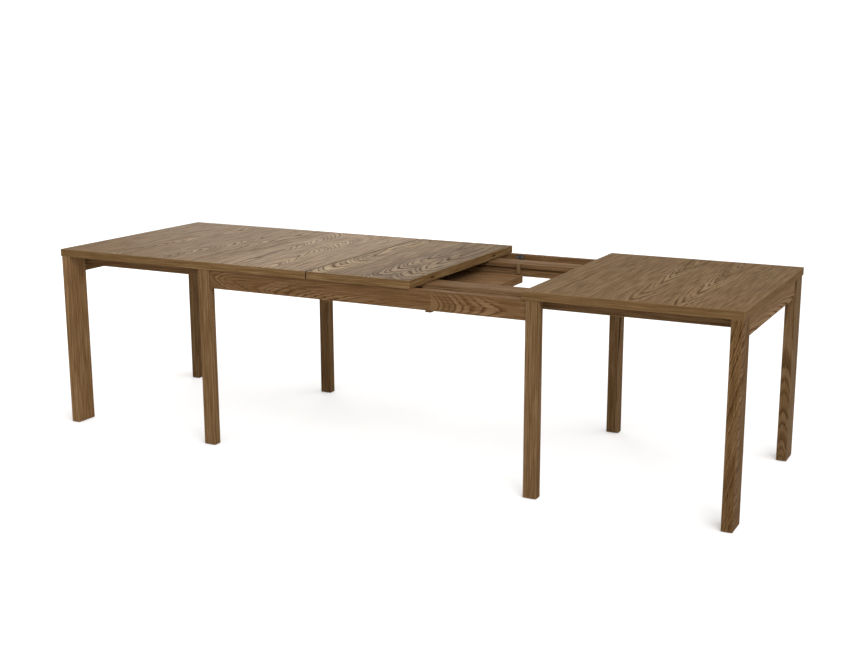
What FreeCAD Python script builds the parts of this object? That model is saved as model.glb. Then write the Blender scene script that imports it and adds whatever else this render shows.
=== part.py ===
import FreeCAD, Part
import os

os.makedirs("parts", exist_ok=True)

# The table stands on the floor with its length along X and its width along Y.
# It is drawn out to its full length, with two leaves laid in and one stowed.
table_height = 750.0
table_width = 930.0
end_top_length = 770.0
leaf_width = 438.0
leaf_count = 3
draw_play = 6.0
top_thickness = 30.0
top_corner_round = 1.5
top_edge_round = 1.2

# Clearances: between moving pieces, between glued or screwed ones, and past a cut
rest_gap = 0.3
slide_gap = 0.5
seam_gap = 0.3
loose_seam = 4.5
joint_gap = 0.1
nesting_gap = 1.0
match_tolerance = 0.05
overrun = 2.0

# Corner legs: flat boards that stand at the ends, broad side to the end
corner_leg_thickness = 40.0
corner_leg_width = 96.0
corner_leg_end_setback = 4.0
corner_leg_side_setback = 1.0

# Inner legs: they carry the middle frame and nest beside the corner legs
inner_leg_width = 52.0
inner_leg_thickness = 36.0
inner_leg_side_setback = 4.0
leg_edge_round = 2.0
leg_foot_bevel = 1.5

# Glides nailed under the feet
glide_thickness = 2.0
glide_radius = 13.0
glide_edge_bevel = 0.6
corner_glide_spacing = 58.0

# Aprons
apron_height = 74.0
apron_thickness = 26.0
apron_leg_setback = 4.0
apron_splice_x = 307.0
apron_edge_round = 1.5
end_apron_thickness = 24.0
end_apron_leg_setback = 6.0
tenon_thickness = 11.0
tenon_length = 28.0
tenon_shoulder = 12.0

# Slides: three lanes on each side, from the fixed runner out to the end's bearer,
# with shares of the room between the leaf store and the inner legs as thicknesses
lane_room_share = 0.246
bearer_room_share = 0.155
lane_drop = 3.5
runner_height = 50.5
bearer_height = 49.0
slide_travel_share = 0.3
groove_height = 9.0
groove_depth = 9.0
key_groove_drop = 25.5
rest_groove_drop = 21.0
key_seat_share = 0.3
key_gap = 0.4
key_stop_margin = 15.0
lane_end_inset = 5.0
lane_nose_bevel = 14.0
lane_edge_bevel = 1.0
stub_length = 9.0
stub_inset = 8.0

# Cross rails under the fixed runners
cross_rail_leg_gap = 41.0
cross_rail_width = 36.0
cross_rail_height = 20.0
cross_tenon_length = 12.0
cross_tenon_inset = 4.0

# Shelf for a spare leaf between the runners: the share tells how far along it the leaf lies
stow_headroom = 46.5
store_side_gap = 13.0
stow_place_share = 0.153
carrier_width = 24.0
carrier_thickness = 10.0
carrier_right_x = 281.0
carrier_left_x = -150.0
hanger_height = 46.0
hanger_thickness = 24.0
hanger_width = 60.0
splice_length = 134.0
block_edge_bevel = 1.5

# Upright rests that hold the leaves level beside the back runner
rest_x = 350.0
rest_width = 14.0
rest_thickness = 8.0
rest_height = 43.5

# Tongues and slots that line up neighbouring leaves
tongue_edge_setback = 189.0
tongue_width = 30.0
tongue_height = 7.0
tongue_length = 27.0
tongue_drop = 17.0
tongue_gap = 0.5

# Wooden buttons that hold each end apron to its top
button_spacing = 165.0
button_width = 30.0
button_height = 20.0
button_length = 34.0
button_tongue_height = 8.0
button_tongue_reach = 8.0
button_play = 1.5

# Dowels between corner legs and tops
dowel_radius = 6.0
dowel_leg_depth = 30.0
dowel_top_depth = 16.0
dowel_spacing = 34.0

# Steel catch plates on the aprons
catch_x = 271.0
catch_width = 33.0
catch_height = 19.0
catch_thickness = 2.0
catch_drop = 1.0
catch_corner_round = 3.0
catch_rib_radius = 2.6
catch_rib_length = 15.0
catch_rib_spacing = 10.0
catch_screw_spacing = 25.0

# Wood screws
screw_head_radius = 4.5
screw_head_height = 3.5
screw_head_bevel = 1.0
screw_shank_radius = 2.5
screw_bite = 16.0
screw_sink = 4.0
screw_gap = 0.15
small_screw_head_radius = 3.2
small_screw_head_height = 1.6
small_screw_head_bevel = 0.5
small_screw_shank_radius = 1.6
small_screw_bite = 13.0
bearer_screw_shares = (0.08, 0.5, 0.92)
splice_screw_spacing = 84.0
splice_screw_drop = 24.0

# Positions that follow from the sizes above
half_width = table_width / 2
half_bays = (leaf_width * leaf_count + draw_play) / 2
end_x = half_bays + end_top_length
full_travel = half_bays
slide_travel = full_travel * slide_travel_share
top_under = table_height - top_thickness
frame_top = top_under - rest_gap
apron_bottom = frame_top - apron_height

corner_leg_x_high = end_x - corner_leg_end_setback
corner_leg_x_low = corner_leg_x_high - corner_leg_thickness
corner_leg_outer_y = half_width - corner_leg_side_setback
corner_leg_inner_y = corner_leg_outer_y - corner_leg_width
end_apron_x_high = corner_leg_x_high - end_apron_leg_setback
end_apron_x_low = end_apron_x_high - end_apron_thickness

inner_leg_x_high = corner_leg_x_low - full_travel - nesting_gap
inner_leg_x_low = inner_leg_x_high - inner_leg_width
inner_leg_outer_y = half_width - inner_leg_side_setback
inner_leg_inner_y = inner_leg_outer_y - inner_leg_thickness
apron_outer_y = inner_leg_outer_y - apron_leg_setback
apron_inner_y = apron_outer_y - apron_thickness
apron_tenon_y = apron_outer_y - apron_thickness / 2

runner_inner_y = leaf_width / 2 + store_side_gap
lane_room = inner_leg_inner_y - runner_inner_y
lane_thickness = lane_room * lane_room_share
bearer_thickness = lane_room * bearer_room_share
key_seat_depth = bearer_thickness * key_seat_share
lane_top = top_under - lane_drop
runner_bottom = lane_top - runner_height
lane_bottom = runner_bottom + slide_gap
key_groove_z = lane_top - key_groove_drop
rest_groove_z = lane_top - rest_groove_drop
key_height = groove_height - 2 * key_gap
runner_outer_y = runner_inner_y + lane_thickness
slide_inner_y = runner_outer_y + slide_gap
slide_outer_y = slide_inner_y + lane_thickness
bearer_inner_y = slide_outer_y + slide_gap
bearer_outer_y = bearer_inner_y + bearer_thickness
bearer_bottom = top_under - bearer_height
bearer_x_low = half_bays + lane_end_inset
slide_x_low = slide_travel + lane_end_inset
slide_x_high = end_apron_x_low - full_travel + slide_travel - lane_end_inset
runner_x_high = inner_leg_x_high

cross_rail_x = inner_leg_x_low - cross_rail_leg_gap - cross_rail_width / 2
store_length = 2 * cross_rail_x - cross_rail_width
stowed_leaf_x = (stow_place_share - 1 / 2) * (store_length - table_width)
stow_top = top_under - stow_headroom
stow_bottom = stow_top - top_thickness
carrier_top = stow_bottom - rest_gap
carrier_bottom = carrier_top - carrier_thickness
hanger_top = carrier_top + hanger_height
hanger_inner_y = apron_inner_y - hanger_thickness
rest_inner_y = runner_inner_y - rest_thickness
tongue_y = half_width - tongue_edge_setback
tongue_z = table_height - tongue_drop
slot_depth = tongue_length / 2

along_x = FreeCAD.Vector(1, 0, 0)
along_y = FreeCAD.Vector(0, 1, 0)
along_z = FreeCAD.Vector(0, 0, 1)


def block(x_low, x_high, y_low, y_high, z_low, z_high):
    corner = FreeCAD.Vector(x_low, y_low, z_low)
    return Part.makeBox(x_high - x_low, y_high - y_low, z_high - z_low, corner)


def straight_edges(shape, direction):
    found = []
    for edge in shape.Edges:
        span = edge.Vertexes[-1].Point.sub(edge.Vertexes[0].Point)
        if span.cross(direction).Length < match_tolerance:
            found.append(edge)
    return found


def edges_at(shape, test):
    return [edge for edge in shape.Edges if test(edge.BoundBox)]


def long_edges_at(shape, level):
    bounds = shape.BoundBox
    longest = max(bounds.XLength, bounds.YLength)
    found = []
    for edge in shape.Edges:
        is_level = abs(edge.BoundBox.ZMin - level) + abs(edge.BoundBox.ZMax - level) < match_tolerance
        if is_level and edge.Length > longest / 2:
            found.append(edge)
    return found


def flipped_front(shape):
    return shape.mirror(FreeCAD.Vector(0, 0, 0), along_y)


def flipped_end(shape):
    return shape.mirror(FreeCAD.Vector(0, 0, 0), along_x)


def front_and_back(shape):
    return [shape, flipped_front(shape)]


def minus(shape, cutters):
    return shape.cut(Part.makeCompound(cutters)).Solids[0]


# Screws are drawn along +Z, with the underside of the head at the origin.
def screw(head_radius, head_height, head_bevel, shank_radius, bite):
    outline = Part.makePolygon([
        FreeCAD.Vector(0, 0, -head_height),
        FreeCAD.Vector(head_radius - head_bevel, 0, -head_height),
        FreeCAD.Vector(head_radius, 0, head_bevel - head_height),
        FreeCAD.Vector(head_radius, 0, 0),
        FreeCAD.Vector(shank_radius, 0, 0),
        FreeCAD.Vector(shank_radius, 0, bite - 2 * shank_radius),
        FreeCAD.Vector(0, 0, bite),
        FreeCAD.Vector(0, 0, -head_height),
    ])
    return Part.Face(outline).revolve(FreeCAD.Vector(0, 0, 0), along_z, 360)


def driven(shape, seat, direction):
    shape.Placement = FreeCAD.Placement(seat, FreeCAD.Rotation(along_z, direction))
    return shape


# A screw whose head is sunk below a face, and the stepped hole it sits in
def sunk_screw(face_point, direction, through):
    bite = through - screw_sink + screw_bite
    fastener = screw(screw_head_radius, screw_head_height, screw_head_bevel, screw_shank_radius, bite)
    seat = face_point.add(FreeCAD.Vector(direction).multiply(screw_sink))
    wide = Part.makeCylinder(screw_head_radius + screw_gap, screw_sink + overrun,
                             FreeCAD.Vector(0, 0, -screw_sink - overrun))
    narrow = Part.makeCylinder(screw_shank_radius + screw_gap, bite + screw_gap)
    hole = driven(wide.fuse(narrow), seat, direction)
    return driven(fastener, seat, direction), hole


# Top panels: rounded corners, eased edges, slots on one seam edge, notches on the other
def slot_shape(x_low, x_high, y_mid, z_mid, width, height):
    radius = height / 2
    reach = width / 2 - radius
    left = y_mid - reach
    right = y_mid + reach
    low_left = FreeCAD.Vector(x_low, left, z_mid - radius)
    low_right = FreeCAD.Vector(x_low, right, z_mid - radius)
    high_left = FreeCAD.Vector(x_low, left, z_mid + radius)
    high_right = FreeCAD.Vector(x_low, right, z_mid + radius)
    end_right = FreeCAD.Vector(x_low, right + radius, z_mid)
    end_left = FreeCAD.Vector(x_low, left - radius, z_mid)
    outline = Part.Wire([
        Part.makeLine(low_left, low_right),
        Part.Arc(low_right, end_right, high_right).toShape(),
        Part.makeLine(high_right, high_left),
        Part.Arc(high_left, end_left, low_left).toShape(),
    ])
    return Part.Face(outline).extrude(FreeCAD.Vector(x_high - x_low, 0, 0))


def panel(x_low, x_high, y_low, y_high, z_low, z_high):
    shape = block(x_low, x_high, y_low, y_high, z_low, z_high)
    shape = shape.makeFillet(top_corner_round, straight_edges(shape, along_z))
    rims = edges_at(shape, lambda bounds: bounds.ZLength < match_tolerance)
    return shape.makeFillet(top_edge_round, rims)


def seam_slots(x_seam):
    cutters = []
    for side in (-1, 1):
        y_mid = side * tongue_y
        cutters.append(slot_shape(x_seam - slot_depth, x_seam + overrun, y_mid, tongue_z,
                                  tongue_width, tongue_height))
    return cutters


def seam_notches(x_seam):
    reach = tongue_width / 2 + tongue_gap
    ceiling = tongue_z + tongue_height / 2 + tongue_gap
    cutters = []
    for side in (-1, 1):
        y_mid = side * tongue_y
        cutters.append(block(x_seam - overrun, x_seam + slot_depth + tongue_gap,
                             y_mid - reach, y_mid + reach, top_under - overrun, ceiling))
    return cutters


def seam_tongues(x_seam):
    tongues = []
    for side in (-1, 1):
        tongues.append(slot_shape(x_seam - slot_depth, x_seam + slot_depth, side * tongue_y, tongue_z,
                                  tongue_width - 2 * joint_gap, tongue_height - 2 * joint_gap))
    return tongues


# Dowels stand in each corner leg's upper end, beyond the apron's tenon, and in the top above.
def leg_dowel_points():
    x_mid = (corner_leg_x_low + corner_leg_x_high) / 2
    y_mid = -(corner_leg_outer_y + corner_leg_inner_y + tenon_length) / 2
    points = []
    for side in (-1, 1):
        y_spot = y_mid + side * dowel_spacing / 2
        points.append(FreeCAD.Vector(x_mid, y_spot, top_under - dowel_leg_depth))
    return points


def leg_dowels(radius, end_allowance):
    height = dowel_leg_depth + dowel_top_depth + 2 * end_allowance
    dowels = []
    for point in leg_dowel_points():
        foot = point.sub(FreeCAD.Vector(0, 0, end_allowance))
        dowels.append(Part.makeCylinder(radius, height, foot))
    return dowels


def foot_eased(shape):
    rim = edges_at(shape, lambda bounds: bounds.ZMax < glide_thickness + match_tolerance)
    return shape.makeChamfer(leg_foot_bevel, rim)


# The end apron's tenon runs along Y into the corner leg's inner face.
def end_tenon(side, allowance):
    x_mid = (end_apron_x_low + end_apron_x_high) / 2
    reach = tenon_thickness / 2 + allowance
    y_low = corner_leg_inner_y - overrun
    y_high = corner_leg_inner_y + tenon_length + allowance
    low = apron_bottom + tenon_shoulder - allowance
    high = top_under - tenon_shoulder + allowance
    tenon = block(x_mid - reach, x_mid + reach, y_low, y_high, low, high)
    return tenon if side > 0 else flipped_front(tenon)


def corner_leg_front():
    shape = block(corner_leg_x_low, corner_leg_x_high, -corner_leg_outer_y, -corner_leg_inner_y,
                  glide_thickness, top_under)
    shape = shape.makeFillet(leg_edge_round, straight_edges(shape, along_z))
    shape = foot_eased(shape)
    cutters = leg_dowels(dowel_radius + joint_gap, joint_gap)
    cutters.append(end_tenon(-1, joint_gap))
    return minus(shape, cutters)


def end_glides():
    x_mid = (corner_leg_x_low + corner_leg_x_high) / 2
    y_mid = -(corner_leg_outer_y + corner_leg_inner_y) / 2
    front = []
    for side in (-1, 1):
        front.append(glide(x_mid, y_mid + side * corner_glide_spacing / 2))
    return front + [flipped_front(shape) for shape in front]


def glide(x_mid, y_mid):
    shape = Part.makeCylinder(glide_radius, glide_thickness, FreeCAD.Vector(x_mid, y_mid, 0))
    rim = edges_at(shape, lambda bounds: bounds.ZMax < match_tolerance)
    return shape.makeChamfer(glide_edge_bevel, rim)


# Bearers are the outermost lane: screwed under the top, stub-tenoned into the end apron.
def bearer_stub(allowance):
    y_low = -bearer_outer_y + stub_inset - allowance
    y_high = -bearer_inner_y - stub_inset + allowance
    low = bearer_bottom + stub_inset - allowance
    high = top_under - stub_inset + allowance
    return block(end_apron_x_low - overrun, end_apron_x_low + stub_length + allowance,
                 y_low, y_high, low, high)


def bearer_screws():
    pairs = []
    y_mid = -(bearer_inner_y + bearer_outer_y) / 2
    for share in bearer_screw_shares:
        x_mid = bearer_x_low + share * (end_apron_x_low - bearer_x_low)
        point = FreeCAD.Vector(x_mid, y_mid, bearer_bottom)
        pairs.append(sunk_screw(point, along_z, bearer_height))
    return pairs


# Each key is seated in one lane and runs in the stopped groove of the next lane inwards,
# whose ends stop the travel.
def lane_key(x_low, x_high, seat_y):
    y_low = -seat_y - key_seat_depth
    y_high = -seat_y + slide_gap + groove_depth - key_gap
    return block(x_low, x_high, y_low, y_high,
                 key_groove_z - key_height / 2, key_groove_z + key_height / 2)


def bearer_key():
    x_low = bearer_x_low + key_stop_margin
    x_high = slide_x_high - key_stop_margin
    return lane_key(x_low, x_high, bearer_inner_y)


def slide_key():
    x_low = slide_x_low + key_stop_margin
    x_high = runner_x_high - key_stop_margin
    return lane_key(x_low, x_high, slide_inner_y)


def nosed(shape):
    whole = shape.BoundBox
    edge = edges_at(shape, lambda bounds: bounds.XMax < whole.XMin + match_tolerance
                    and bounds.ZMax < whole.ZMin + match_tolerance)
    return shape.makeChamfer(lane_nose_bevel, edge)


def bearer_front():
    shape = block(bearer_x_low, end_apron_x_low, -bearer_outer_y, -bearer_inner_y,
                  bearer_bottom, top_under)
    shape = nosed(shape).fuse(bearer_stub(0)).removeSplitter()
    cutters = [hole for fastener, hole in bearer_screws()]
    cutters.append(bearer_key())
    return minus(shape, cutters)


def lane_groove(x_low, x_high, face_y, inward, level):
    y_floor = face_y + inward * groove_depth
    y_mouth = face_y - inward * overrun
    return block(x_low, x_high, min(y_floor, y_mouth), max(y_floor, y_mouth),
                 level - groove_height / 2, level + groove_height / 2)


def slide_front():
    shape = block(slide_x_low, slide_x_high, -slide_outer_y, -slide_inner_y, lane_bottom, lane_top)
    shape = nosed(shape)
    shape = shape.makeChamfer(lane_edge_bevel, long_edges_at(shape, lane_top))
    groove_low = slide_x_low + key_stop_margin - rest_gap
    groove_high = slide_x_high - key_stop_margin + rest_gap
    groove = lane_groove(groove_low, groove_high, -slide_outer_y, 1, key_groove_z)
    return minus(shape, [groove, slide_key()])


# The end apron is tenoned into the corner legs and slotted for the buttons.
def button_places():
    return [-button_spacing, 0, button_spacing]


def button_slot(y_mid):
    reach = button_width / 2 + button_play
    low = top_under - button_height - rest_gap
    high = top_under - button_height + button_tongue_height + rest_gap
    return block(end_apron_x_low - overrun, end_apron_x_low + button_tongue_reach + button_play,
                 y_mid - reach, y_mid + reach, low, high)


def button(y_mid):
    x_face = end_apron_x_low - button_play
    low = top_under - button_height
    body = block(x_face - button_length, x_face, y_mid - button_width / 2, y_mid + button_width / 2,
                 low, top_under)
    body = body.makeChamfer(block_edge_bevel, edges_at(
        body, lambda bounds: bounds.XMax < x_face - button_length + match_tolerance
        and bounds.ZLength > match_tolerance))
    tongue = block(x_face - overrun, end_apron_x_low + button_tongue_reach,
                   y_mid - button_width / 2, y_mid + button_width / 2, low, low + button_tongue_height)
    return body.fuse(tongue).removeSplitter()


def button_screw(y_mid):
    x_mid = end_apron_x_low - button_play - button_length / 2
    point = FreeCAD.Vector(x_mid, y_mid, top_under - button_height)
    return sunk_screw(point, along_z, button_height)


def end_apron():
    shape = block(end_apron_x_low, end_apron_x_high, -corner_leg_inner_y, corner_leg_inner_y,
                  apron_bottom, top_under)
    shape = shape.makeFillet(apron_edge_round, long_edges_at(shape, apron_bottom))
    for side in (-1, 1):
        shape = shape.fuse(end_tenon(side, 0))
    shape = shape.removeSplitter()
    cutters = [button_slot(y_mid) for y_mid in button_places()]
    cutters += front_and_back(bearer_stub(joint_gap))
    return minus(shape, cutters)


def end_top():
    shape = panel(half_bays + seam_gap / 2, end_x, -half_width, half_width, top_under, table_height)
    cutters = []
    for dowel in leg_dowels(dowel_radius + joint_gap, joint_gap):
        cutters += front_and_back(dowel)
    for fastener, hole in bearer_screws():
        cutters += front_and_back(hole)
    for y_mid in button_places():
        cutters.append(button_screw(y_mid)[1])
    return minus(shape, cutters)


def right_top():
    return minus(end_top(), seam_notches(half_bays))


def left_top():
    return minus(flipped_end(end_top()), seam_slots(-half_bays))


def leaf(x_low):
    x_high = x_low + leaf_width
    shape = panel(x_low + seam_gap / 2, x_high - seam_gap / 2, -half_width, half_width,
                  top_under, table_height)
    return minus(shape, seam_notches(x_low) + seam_slots(x_high))


# The stowed leaf is like the laid ones, turned a quarter turn under the table.
def stowed_leaf():
    shape = leaf(-leaf_width / 2)
    shape.rotate(FreeCAD.Vector(0, 0, 0), along_z, 90)
    shape.translate(FreeCAD.Vector(stowed_leaf_x, 0, stow_bottom - top_under))
    return shape


# Middle frame: inner legs, front and back aprons, cross rails and fixed runners
def apron_tenon(allowance):
    y_low = -apron_tenon_y - tenon_thickness / 2 - allowance
    y_high = -apron_tenon_y + tenon_thickness / 2 + allowance
    return block(inner_leg_x_low - overrun, inner_leg_x_low + tenon_length + allowance, y_low, y_high,
                 apron_bottom + tenon_shoulder - allowance, frame_top - tenon_shoulder + allowance)


def inner_leg_front():
    shape = block(inner_leg_x_low, inner_leg_x_high, -inner_leg_outer_y, -inner_leg_inner_y,
                  glide_thickness, frame_top)
    shape = shape.makeFillet(leg_edge_round, straight_edges(shape, along_z))
    return minus(foot_eased(shape), [apron_tenon(joint_gap)])


def inner_glides():
    x_mid = (inner_leg_x_low + inner_leg_x_high) / 2
    y_mid = -(inner_leg_outer_y + inner_leg_inner_y) / 2
    right = front_and_back(glide(x_mid, y_mid))
    return right + [flipped_end(shape) for shape in right]


def cross_tenon(x_mid, allowance):
    reach = cross_rail_width / 2 - cross_tenon_inset + allowance
    low = runner_bottom - cross_rail_height + cross_tenon_inset - allowance
    high = runner_bottom - cross_tenon_inset + allowance
    return block(x_mid - reach, x_mid + reach, -apron_inner_y - cross_tenon_length - allowance,
                 -apron_inner_y + overrun, low, high)


def catch_plate():
    y_face = -apron_inner_y
    high = frame_top - catch_drop
    low = high - catch_height
    plate = block(catch_x - catch_width / 2, catch_x + catch_width / 2, y_face, y_face + catch_thickness,
                  low, high)
    plate = plate.makeFillet(catch_corner_round, straight_edges(plate, along_y))
    y_root = y_face + catch_thickness / 2
    for side in (-1, 1):
        x_rib = catch_x + side * catch_rib_spacing / 2
        foot = FreeCAD.Vector(x_rib, y_root, (low + high - catch_rib_length) / 2)
        rib = Part.makeCylinder(catch_rib_radius, catch_rib_length, foot)
        behind = block(x_rib - 2 * catch_rib_radius, x_rib + 2 * catch_rib_radius,
                       y_root - 2 * catch_rib_radius, y_root, low, high)
        plate = plate.fuse(rib.cut(behind))
    return minus(plate.removeSplitter(), [hole for fastener, hole in catch_screws()])


def catch_screws():
    pairs = []
    z_mid = frame_top - catch_drop - catch_height / 2
    for side in (-1, 1):
        x_mid = catch_x + side * catch_screw_spacing / 2
        seat = FreeCAD.Vector(x_mid, -apron_inner_y + catch_thickness, z_mid)
        bite = catch_thickness + small_screw_bite
        fastener = screw(small_screw_head_radius, small_screw_head_height, small_screw_head_bevel,
                         small_screw_shank_radius, bite)
        hole = Part.makeCylinder(small_screw_shank_radius + screw_gap, bite + screw_gap)
        inward = FreeCAD.Vector(0, -1, 0)
        pairs.append((driven(fastener, seat, inward), driven(hole, seat, inward)))
    return pairs


def splice_screws():
    pairs = []
    for side in (-1, 1):
        x_mid = apron_splice_x + side * splice_screw_spacing / 2
        point = FreeCAD.Vector(x_mid, -hanger_inner_y, hanger_top - splice_screw_drop)
        pairs.append(sunk_screw(point, FreeCAD.Vector(0, -1, 0), hanger_thickness))
    return pairs


def hanger_screws(x_mid):
    point = FreeCAD.Vector(x_mid, -hanger_inner_y, hanger_top - splice_screw_drop)
    return sunk_screw(point, FreeCAD.Vector(0, -1, 0), hanger_thickness)


def apron(x_low, x_high):
    shape = block(x_low, x_high, -apron_outer_y, -apron_inner_y, apron_bottom, frame_top)
    return shape.makeFillet(apron_edge_round, long_edges_at(shape, apron_bottom))


def front_apron_cutters():
    cutters = [cross_tenon(cross_rail_x, joint_gap), cross_tenon(-cross_rail_x, joint_gap)]
    cutters += [hole for fastener, hole in catch_screws() + splice_screws()]
    cutters.append(hanger_screws(carrier_left_x)[1])
    return cutters


def front_apron_right():
    shape = apron(apron_splice_x, inner_leg_x_low).fuse(apron_tenon(0)).removeSplitter()
    return minus(shape, front_apron_cutters())


def front_apron_left():
    shape = apron(-inner_leg_x_low, apron_splice_x).fuse(flipped_end(apron_tenon(0))).removeSplitter()
    return minus(shape, front_apron_cutters())


def back_apron():
    shape = apron(-inner_leg_x_low, inner_leg_x_low)
    shape = shape.fuse(apron_tenon(0)).fuse(flipped_end(apron_tenon(0))).removeSplitter()
    cutters = [cross_tenon(cross_rail_x, joint_gap), cross_tenon(-cross_rail_x, joint_gap)]
    cutters += [hole for fastener, hole in catch_screws()]
    for x_mid in (carrier_left_x, carrier_right_x):
        cutters.append(hanger_screws(x_mid)[1])
    return flipped_front(minus(shape, cutters))


def fixed_runner_front():
    shape = block(-runner_x_high, runner_x_high, -runner_outer_y, -runner_inner_y, runner_bottom, lane_top)
    shape = shape.makeChamfer(lane_edge_bevel, long_edges_at(shape, lane_top))
    groove_x = runner_x_high - key_stop_margin + rest_gap
    cutters = [lane_groove(-groove_x, groove_x, -runner_outer_y, 1, key_groove_z)]
    cutters.append(lane_groove(-runner_x_high - overrun, runner_x_high + overrun, -runner_inner_y, -1,
                               rest_groove_z))
    cutters += [hole for fastener, hole in runner_screws()]
    for x_mid in (carrier_left_x, carrier_right_x):
        cutters.append(carrier_screw(x_mid, runner_mid_y(), runner_bottom)[1])
    return minus(shape, cutters)


def runner_mid_y():
    return -(runner_inner_y + runner_outer_y) / 2


def runner_screws():
    pairs = []
    for x_mid in (-cross_rail_x, cross_rail_x):
        point = FreeCAD.Vector(x_mid, runner_mid_y(), runner_bottom - cross_rail_height)
        pairs.append(sunk_screw(point, along_z, cross_rail_height))
    return pairs


def cross_rail():
    shape = block(cross_rail_x - cross_rail_width / 2, cross_rail_x + cross_rail_width / 2,
                  -apron_inner_y, apron_inner_y, runner_bottom - cross_rail_height, runner_bottom)
    shape = shape.makeChamfer(block_edge_bevel, long_edges_at(shape, runner_bottom - cross_rail_height))
    for tenon in front_and_back(cross_tenon(cross_rail_x, 0)):
        shape = shape.fuse(tenon)
    cutters = []
    for fastener, hole in runner_screws():
        cutters += front_and_back(hole)
    return minus(shape.removeSplitter(), cutters)


# Shelf for the spare leaf: two carriers held by blocks under runners and behind aprons
def carrier_screw(x_mid, y_mid, ceiling):
    return sunk_screw(FreeCAD.Vector(x_mid, y_mid, carrier_bottom), along_z, ceiling - carrier_bottom)


def hanger_mid_y():
    return -(hanger_inner_y + apron_inner_y) / 2


def shelf_screws(x_mid):
    inner = carrier_screw(x_mid, runner_mid_y(), runner_bottom)
    outer = carrier_screw(x_mid, hanger_mid_y(), carrier_top)
    return [inner, outer]


def leaf_carrier(x_mid):
    shape = block(x_mid - carrier_width / 2, x_mid + carrier_width / 2, -apron_inner_y, apron_inner_y,
                  carrier_bottom, carrier_top)
    shape = shape.makeChamfer(block_edge_bevel, long_edges_at(shape, carrier_bottom))
    cutters = []
    for fastener, hole in shelf_screws(x_mid):
        cutters += front_and_back(hole)
    return minus(shape, cutters)


def spacer_block(x_mid):
    shape = block(x_mid - carrier_width / 2, x_mid + carrier_width / 2, -runner_outer_y, -runner_inner_y,
                  carrier_top, runner_bottom)
    return minus(shape, [carrier_screw(x_mid, runner_mid_y(), runner_bottom)[1]])


def hanger_block(x_mid):
    shape = block(x_mid - hanger_width / 2, x_mid + hanger_width / 2, -apron_inner_y, -hanger_inner_y,
                  carrier_top, hanger_top)
    shape = shape.makeChamfer(block_edge_bevel, straight_edges(shape, along_z))
    return minus(shape, [shelf_screws(x_mid)[1][1], hanger_screws(x_mid)[1]])


def apron_splice_block():
    shape = block(apron_splice_x - splice_length / 2, apron_splice_x + splice_length / 2,
                  -apron_inner_y, -hanger_inner_y, carrier_top, hanger_top)
    shape = shape.makeChamfer(block_edge_bevel, straight_edges(shape, along_z))
    cutters = [hole for fastener, hole in splice_screws()]
    cutters.append(shelf_screws(carrier_right_x)[1][1])
    return minus(shape, cutters)


# Rests hook a tongue into the back runner's inner groove.
def leaf_rest():
    x_low = rest_x - rest_width / 2
    x_high = rest_x + rest_width / 2
    body = block(x_low, x_high, rest_inner_y, runner_inner_y, frame_top - rest_height, frame_top)
    body = body.makeChamfer(block_edge_bevel, edges_at(
        body, lambda bounds: bounds.YMax < rest_inner_y + match_tolerance
        and bounds.ZLength < match_tolerance))
    reach = groove_height / 2 - joint_gap
    tongue = block(x_low, x_high, runner_inner_y - overrun, runner_inner_y + groove_depth - joint_gap,
                   rest_groove_z - reach, rest_groove_z + reach)
    return body.fuse(tongue).removeSplitter()


def shelf_screw_set():
    screws = []
    for x_mid in (carrier_left_x, carrier_right_x):
        for fastener, hole in shelf_screws(x_mid):
            screws += front_and_back(fastener)
    return screws


def apron_screw_set():
    screws = [fastener for fastener, hole in splice_screws()]
    screws += front_and_back(hanger_screws(carrier_left_x)[0])
    screws.append(flipped_front(hanger_screws(carrier_right_x)[0]))
    return screws


def runner_screw_set():
    screws = []
    for fastener, hole in runner_screws():
        screws += front_and_back(fastener)
    return screws


def catch_screw_set():
    screws = []
    for fastener, hole in catch_screws():
        screws += front_and_back(fastener)
    return screws


def bearer_screw_set():
    screws = []
    for fastener, hole in bearer_screws():
        screws += front_and_back(fastener)
    return screws


def leg_dowel_set():
    dowels = []
    for dowel in leg_dowels(dowel_radius, 0):
        dowels += front_and_back(dowel)
    return dowels


def drilled_button(y_mid):
    return minus(button(y_mid), [button_screw(y_mid)[1]])


pieces = {}

# Middle frame
inner_leg = inner_leg_front()
pieces["inner_leg_front_right"] = [inner_leg]
pieces["inner_leg_front_left"] = [flipped_end(inner_leg)]
pieces["inner_leg_back_right"] = [flipped_front(inner_leg)]
pieces["inner_leg_back_left"] = [flipped_front(flipped_end(inner_leg))]
pieces["inner_glides"] = inner_glides()
pieces["front_apron_left"] = [front_apron_left()]
pieces["front_apron_right"] = [front_apron_right()]
pieces["back_apron"] = [back_apron()]
pieces["apron_splice_block"] = [apron_splice_block()]
pieces["apron_screws"] = apron_screw_set()
pieces["cross_rail_right"] = [cross_rail()]
pieces["cross_rail_left"] = [flipped_end(cross_rail())]
pieces["fixed_runner_front"] = [fixed_runner_front()]
pieces["fixed_runner_back"] = [flipped_front(fixed_runner_front())]
pieces["runner_screws"] = runner_screw_set()
pieces["leaf_rests"] = [leaf_rest(), flipped_end(leaf_rest())]
pieces["leaf_catches"] = front_and_back(catch_plate())
pieces["catch_screws"] = catch_screw_set()
pieces["leaf_carrier_left"] = [leaf_carrier(carrier_left_x)]
pieces["leaf_carrier_right"] = [leaf_carrier(carrier_right_x)]
pieces["carrier_spacers"] = front_and_back(spacer_block(carrier_left_x)) + front_and_back(
    spacer_block(carrier_right_x))
pieces["carrier_hangers"] = front_and_back(hanger_block(carrier_left_x)) + [
    flipped_front(hanger_block(carrier_right_x))]
pieces["carrier_screws"] = shelf_screw_set()

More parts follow.
